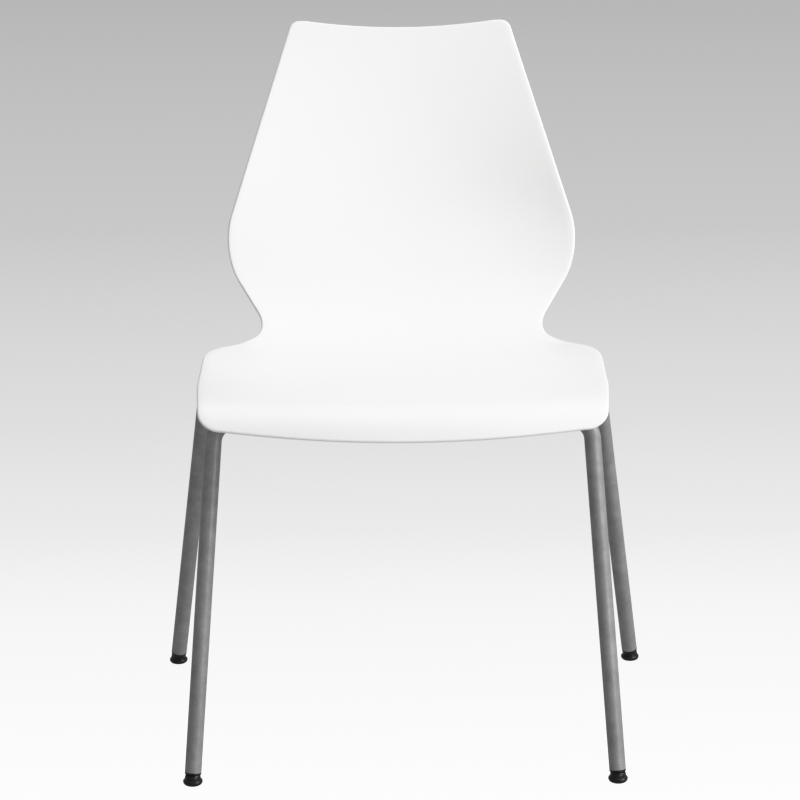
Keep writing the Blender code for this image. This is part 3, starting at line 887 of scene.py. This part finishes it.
def make_plates():
    """Plates with a screw hole, welded on top of the cross rails."""
    for corner, end, sign in CORNERS:
        low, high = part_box(f"{corner}_seat_plate")
        hole = Vector((sign * SCREW_PLACES[end][0], SCREW_PLACES[end][1]))
        rings = [
            rounded_rectangle(low, high, PLATE_EDGE, high.z),
            rounded_rectangle(low, high, PLATE_EDGE / 4, high.z - PLATE_EDGE / 4),
            rounded_rectangle(low, high, 0.0, high.z - PLATE_EDGE),
            rounded_rectangle(low, high, 0.0, low.z + PLATE_EDGE),
            rounded_rectangle(low, high, PLATE_EDGE / 4, low.z + PLATE_EDGE / 4),
            rounded_rectangle(low, high, PLATE_EDGE, low.z),
        ]
        for height, radius in (
                (low.z, HOLE_RADIUS + PLATE_EDGE), (low.z + PLATE_EDGE, HOLE_RADIUS),
                (high.z - PLATE_EDGE, HOLE_RADIUS), (high.z, HOLE_RADIUS + PLATE_EDGE)):
            ring = []
            for point in rings[0]:
                outward = (point.xy - hole).normalized() * radius
                ring.append(Vector((hole.x + outward.x, hole.y + outward.y, height)))
            rings.append(ring)
        plate = skin(f"{corner}_plate", rings, PAINT, loop_back=True)
        settle(plate, "chair", "tube_paint", f"{corner}_seat_plate")
        rise = WELD_RISE * TUBE_RADIUS
        reach = math.sqrt(TUBE_RADIUS ** 2 - rise ** 2)
        middle = (low.x + high.x) / 2
        half = (high.x - low.x) / 2 - 2 * WELD_RADIUS
        count = round(2 * half / WELD_PITCH)
        for place, facing in (("outer", -1), ("inner", 1)):
            inward = facing if end == "front" else -facing
            y = KNEES[end][1] + inward * (reach - WELD_RADIUS)
            z = (RAIL_Z + rise + low.z) / 2
            start = middle - half
            path = [Vector((start + 2 * half * step / count, y, z)) for step in range(count + 1)]
            outward = [Vector((0.0, inward, 0.0))] * len(path)
            weld_bead(f"{corner}_plate_weld_{place}", path, outward, False)


def make_screws():
    """Pan-head screws with a cross recess, each with a washer."""
    for corner, end, sign in CORNERS:
        x = sign * SCREW_PLACES[end][0]
        y = SCREW_PLACES[end][1]
        low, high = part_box(f"{corner}_washer")
        flat = WASHER_RADIUS - WASHER_EDGE
        section = (
            (HOLE_RADIUS, high.z), (flat, high.z), (WASHER_RADIUS, high.z - WASHER_EDGE),
            (WASHER_RADIUS, low.z + WASHER_EDGE), (flat, low.z), (HOLE_RADIUS, low.z),
        )
        right = Vector((1, 0, 0))
        back = Vector((0, 1, 0))
        rings = []
        for radius, z in section:
            rings.append(circle(Vector((x, y, z)), right, back, radius, TURNED_SIDES))
        washer = skin(f"{corner}_plain_washer", rings, ZINC, loop_back=True)
        settle(washer, "chair", "screw_steel", f"{corner}_washer")

        low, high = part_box(f"{corner}_seat_screw")
        head_top = low.z + HEAD_HEIGHT
        tip = high.z
        dome = arc((0.0, low.z + HEAD_ROUNDING), HEAD_ROUNDING, 0, -90, CORNER_STEPS)
        flat = HEAD_RADIUS - HEAD_ROUNDING
        profile = [(0.0, tip), (SCREW_TIP * SCREW_RADIUS, tip)]
        profile += [(SCREW_RADIUS, tip - SCREW_RADIUS / 2)]
        profile += [(SCREW_RADIUS, head_top), (HEAD_RADIUS, head_top)]
        profile += [(flat + radius, height) for radius, height in dome]
        profile += [(0.0, low.z)]
        screw = turned(f"{corner}_screw", profile, ZINC, Matrix.Translation((x, y, 0.0)))
        for turn in (0, 90):
            slot = recess_mesh(f"{corner}_recess_{turn}")
            spin = Matrix.Rotation(math.radians(turn), 4, "Z")
            slot.data.transform(Matrix.Translation((x, y, low.z)) @ spin)
            combined(screw, slot, "DIFFERENCE")
        settle(screw, "chair", "screw_steel", f"{corner}_seat_screw")


def recess_mesh(name):
    """One wing of a cross recess, which narrows towards its floor."""
    rings = []
    for height, (length, width) in ((-GAP, (1.0, 1.0)), (RECESS_DEPTH, RECESS_FLOOR)):
        x = RECESS_LENGTH / 2 * length
        y = RECESS_WIDTH / 2 * width
        rings.append([Vector(point) for point in
                      ((x, y, height), (-x, y, height), (-x, -y, height), (x, -y, height))])
    faces = band(0, 4, 4, 4) + [(0, 1, 2, 3), (4, 5, 6, 7)]
    return mesh_object(name, rings[0] + rings[1], faces, ZINC)


# ---------------------------------------------------------------- bumpers

def bumper_section():
    """Section of a bumper in (y, z): a clip round the tube, open at the top, with a pad below."""
    inner = TUBE_RADIUS + GAP
    outer = inner + BUMPER_WALL
    start = 90 + BUMPER_MOUTH / 2
    end = start + 360 - BUMPER_MOUTH
    pad_bottom = -(TUBE_RADIUS + BUMPER_PAD)
    pad_angle = math.degrees(math.acos(BUMPER_PAD_HALF / outer))
    section = arc((0.0, 0.0), inner, start, end, BUMPER_INNER_STEPS)
    section += arc((0.0, 0.0), outer, end, 360 - pad_angle, BUMPER_OUTER_STEPS)
    section += [(BUMPER_PAD_HALF, pad_bottom), (-BUMPER_PAD_HALF, pad_bottom)]
    section += arc((0.0, 0.0), outer, 180 + pad_angle, start, BUMPER_OUTER_STEPS)
    return section


def make_bumpers():
    """Clip-on pads under the cross rails, which a stacked chair rests on."""
    section = bumper_section()
    count = len(section)
    for corner, end, _ in CORNERS:
        low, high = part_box(f"{corner}_stack_bumper")
        vertices = []
        for x in (low.x, high.x):
            vertices += [Vector((x, KNEES[end][1] + y, RAIL_Z + z)) for y, z in section]
        faces = band(0, count, count, count)
        faces += [tuple(range(count)), tuple(range(count, 2 * count))]
        bumper = mesh_object(f"{corner}_bumper", vertices, faces, BUMPER)
        bevelled(bumper, BUMPER_EDGE)
        settle(bumper, "chair", "bumper_plastic", f"{corner}_stack_bumper")


# ---------------------------------------------------------------- glides

def insert_profile(stem_length):
    """Turned profile of a glide insert: plug, collar, pocket and ball."""
    plug_radius = TUBE_RADIUS - TUBE_WALL - GAP
    plug_top = stem_length + PLUG_LENGTH
    collar_top = stem_length - GAP
    pocket_radius = DOME_RADIUS + GAP
    pocket_mouth = math.degrees(math.asin(SKIRT_BOTTOM / pocket_radius))
    pocket_neck = math.degrees(math.acos(NECK_RADIUS / pocket_radius))
    ball_neck = math.degrees(math.acos(NECK_RADIUS / BALL_RADIUS))
    corners = [
        (0.0, plug_top),
        (plug_radius - PLUG_LEAD, plug_top),
        (plug_radius, plug_top - PLUG_LEAD),
        (plug_radius, collar_top),
        (TUBE_RADIUS, collar_top),
        (TUBE_RADIUS, collar_top - COLLAR_THICKNESS),
        (SKIRT_RADIUS, SKIRT_BOTTOM),
        (pocket_radius * math.cos(math.radians(pocket_mouth)), SKIRT_BOTTOM),
    ]
    radii = (COLLAR_EDGE, COLLAR_EDGE, 0.0, COLLAR_EDGE, COLLAR_EDGE, COLLAR_EDGE)
    outside = [(point.x, point.y) for point in rounded_path(corners, radii, EDGE_STEPS)]
    pocket = arc((0.0, 0.0), pocket_radius, pocket_mouth, pocket_neck, POCKET_STEPS)
    ball = arc((0.0, 0.0), BALL_RADIUS, ball_neck, -90, BALL_STEPS)
    return outside + pocket[1:] + ball


def foot_profile(ball_height):
    """Turned profile of a swivel foot: socket, dome, rounded flange and dimpled sole."""
    socket_radius = BALL_RADIUS + GAP
    sole = -ball_height
    flange_top = FLANGE_HEIGHT - ball_height
    heel_radius = FLANGE_HEIGHT - FOOT_EDGE
    cove_centre = (DOME_RADIUS + COVE_RADIUS, flange_top + COVE_RADIUS)
    edge_centre = (FOOT_RADIUS - FOOT_EDGE, flange_top - FOOT_EDGE)
    heel_centre = (FOOT_RADIUS - heel_radius, sole + heel_radius)
    dimple_centre = (DIMPLE_RADIUS, sole + DIMPLE_DEPTH)
    socket = arc((0.0, 0.0), socket_radius, -90, DOME_MOUTH, BALL_STEPS)
    dome = arc((0.0, 0.0), DOME_RADIUS, DOME_MOUTH, 0, CORNER_STEPS)
    cove = arc(cove_centre, COVE_RADIUS, 180, 270, EDGE_STEPS)
    edge = arc(edge_centre, FOOT_EDGE, FLANGE_SLOPE, 0, FLANGE_STEPS)
    heel = arc(heel_centre, heel_radius, 0, -90, HEEL_STEPS)
    dimple = arc(dimple_centre, DIMPLE_DEPTH, -90, -180, EDGE_STEPS)
    return socket + dome + cove + edge + heel[1:] + dimple + [(0.0, sole + DIMPLE_DEPTH)]


def make_glides():
    """A plug in the end of each leg and the foot that swivels on the plug's ball."""
    for corner, end, sign in CORNERS:
        body = f"{corner}_foot"
        ball_centre = JOINT_PLACES[body]
        leg_end, leg_knee = leg_axis(end, sign)
        along = (leg_knee - leg_end).normalized()
        lean = along.to_track_quat("Z", "Y").to_matrix().to_4x4()
        place = Matrix.Translation(ball_centre) @ lean
        stem_length = (leg_end - ball_centre).length
        insert = turned(f"{corner}_insert", insert_profile(stem_length), NYLON, place)
        settle(insert, "chair", "glide_plastic", f"{corner}_glide_insert")
        upright = Matrix.Translation(ball_centre)
        foot = turned(f"{corner}_swivel_foot", foot_profile(ball_centre.z), NYLON, upright)
        settle(foot, body, "glide_plastic", f"{corner}_glide_foot")


# ---------------------------------------------------------------- studio

def light_for(grey):
    """Light that the film shows as a grey on the screen, from 0 to 255."""
    shown = ((grey / 255 + SRGB_OFFSET) / (1 + SRGB_OFFSET)) ** SRGB_POWER
    for (start, low), (end, high) in zip(FILM_CURVE, FILM_CURVE[1:]):
        if shown <= high:
            return start + (end - start) * (shown - low) / (high - low)
    return FILM_CURVE[-1][0]


def set_film():
    """A plain response that keeps white surfaces from burning out."""
    view = bpy.context.scene.view_settings
    view.view_transform = "Standard"
    view.use_curve_mapping = True
    mapping = view.curve_mapping
    white = FILM_CURVE[-1][0]
    mapping.white_level = (white, white, white)
    points = mapping.curves[WHOLE_CURVE].points
    for _ in range(len(FILM_CURVE) - len(points)):
        points.new(0.5, 0.5)
    for point, (light, shown) in zip(points, FILM_CURVE):
        point.location = (light / white, shown)
    mapping.update()


def floor_material():
    """A pale floor that fades to grey behind the chair, lit evenly with a faint shadow."""
    made = bpy.data.materials.new("studio_floor")
    made.use_nodes = True
    nodes = made.node_tree.nodes
    links = made.node_tree.links
    nodes.clear()
    split = nodes.new("ShaderNodeSeparateXYZ")
    links.new(nodes.new("ShaderNodeTexCoord").outputs["Object"], split.inputs[0])
    start = FLOOR_GREYS[0][0]
    end = FLOOR_GREYS[-1][0]
    share = mapped(made, split.outputs["Y"], (start, end), 0.0, 1.0)
    ramp = nodes.new("ShaderNodeValToRGB")
    links.new(share, ramp.inputs[0])
    stops = ramp.color_ramp.elements
    while len(stops) < len(FLOOR_GREYS):
        stops.new(0.5)
    brightest = light_for(FLOOR_GREYS[0][1])
    for stop, (y, grey) in zip(stops, FLOOR_GREYS):
        tone = light_for(grey) / brightest
        stop.position = (y - start) / (end - start)
        stop.color = (tone, tone, tone, 1.0)
    glow = nodes.new("ShaderNodeEmission")
    glow.inputs["Strength"].default_value = brightest * (1 - FLOOR_MATTE)
    matte = nodes.new("ShaderNodeBsdfDiffuse")
    matte.inputs["Color"].default_value = (FLOOR_MATTE, FLOOR_MATTE, FLOOR_MATTE, 1.0)
    links.new(ramp.outputs["Color"], glow.inputs["Color"])
    lit = nodes.new("ShaderNodeAddShader")
    links.new(glow.outputs[0], lit.inputs[0])
    links.new(matte.outputs[0], lit.inputs[1])
    facing = nodes.new("ShaderNodeNewGeometry")
    one_sided = nodes.new("ShaderNodeMixShader")
    links.new(facing.outputs["Backfacing"], one_sided.inputs[0])
    links.new(lit.outputs[0], one_sided.inputs[1])
    links.new(nodes.new("ShaderNodeBsdfTransparent").outputs[0], one_sided.inputs[2])
    output = nodes.new("ShaderNodeOutputMaterial")
    links.new(one_sided.outputs[0], output.inputs["Surface"])
    return made


def make_floor():
    half = FLOOR_SIZE / 2
    mesh = bpy.data.meshes.new("floor")
    corners = [(-half, -half, 0), (half, -half, 0), (half, half, 0), (-half, half, 0)]
    mesh.from_pydata(corners, [], [(0, 1, 2, 3)])
    mesh.materials.append(floor_material())
    floor = bpy.data.objects.new("floor", mesh)
    floor.visible_diffuse = False
    floor.visible_glossy = False
    bpy.context.scene.collection.objects.link(floor)


def make_lights():
    for name, place, width, power in LIGHTS:
        data = bpy.data.lights.new(name, "AREA")
        data.shape = "SQUARE"
        data.size = width
        data.energy = power
        light = bpy.data.objects.new(name, data)
        light.location = place
        light.rotation_mode = "QUATERNION"
        light.rotation_quaternion = (LIGHT_AIM - Vector(place)).to_track_quat("-Z", "Y")
        bpy.context.scene.collection.objects.link(light)
    world = bpy.data.worlds.new("studio")
    world.use_nodes = True
    world.node_tree.nodes["Background"].inputs["Color"].default_value = (1.0, 1.0, 1.0, 1.0)
    world.node_tree.nodes["Background"].inputs["Strength"].default_value = WORLD_LIGHT
    bpy.context.scene.world = world


def make_camera():
    data = bpy.data.cameras.new("camera")
    data.lens = CAMERA_LENS
    data.clip_end = CAMERA_REACH
    camera = bpy.data.objects.new("camera", data)
    pitch = Matrix.Rotation(math.pi / 2 - CAMERA_ELEVATION, 4, "X")
    roll = Matrix.Rotation(CAMERA_ROLL, 4, "Z")
    away = Matrix.Translation((0.0, 0.0, CAMERA_DISTANCE))
    camera.matrix_world = Matrix.Translation(CAMERA_TARGET) @ pitch @ away @ roll
    bpy.context.scene.collection.objects.link(camera)
    bpy.context.scene.camera = camera


make_camera()
set_film()
make_lights()
make_floor()
make_shell()
make_bosses()
for leg_end_name in ENDS:
    make_leg_frame(leg_end_name)
make_side_rails()
make_plates()
make_screws()
make_bumpers()
make_glides()
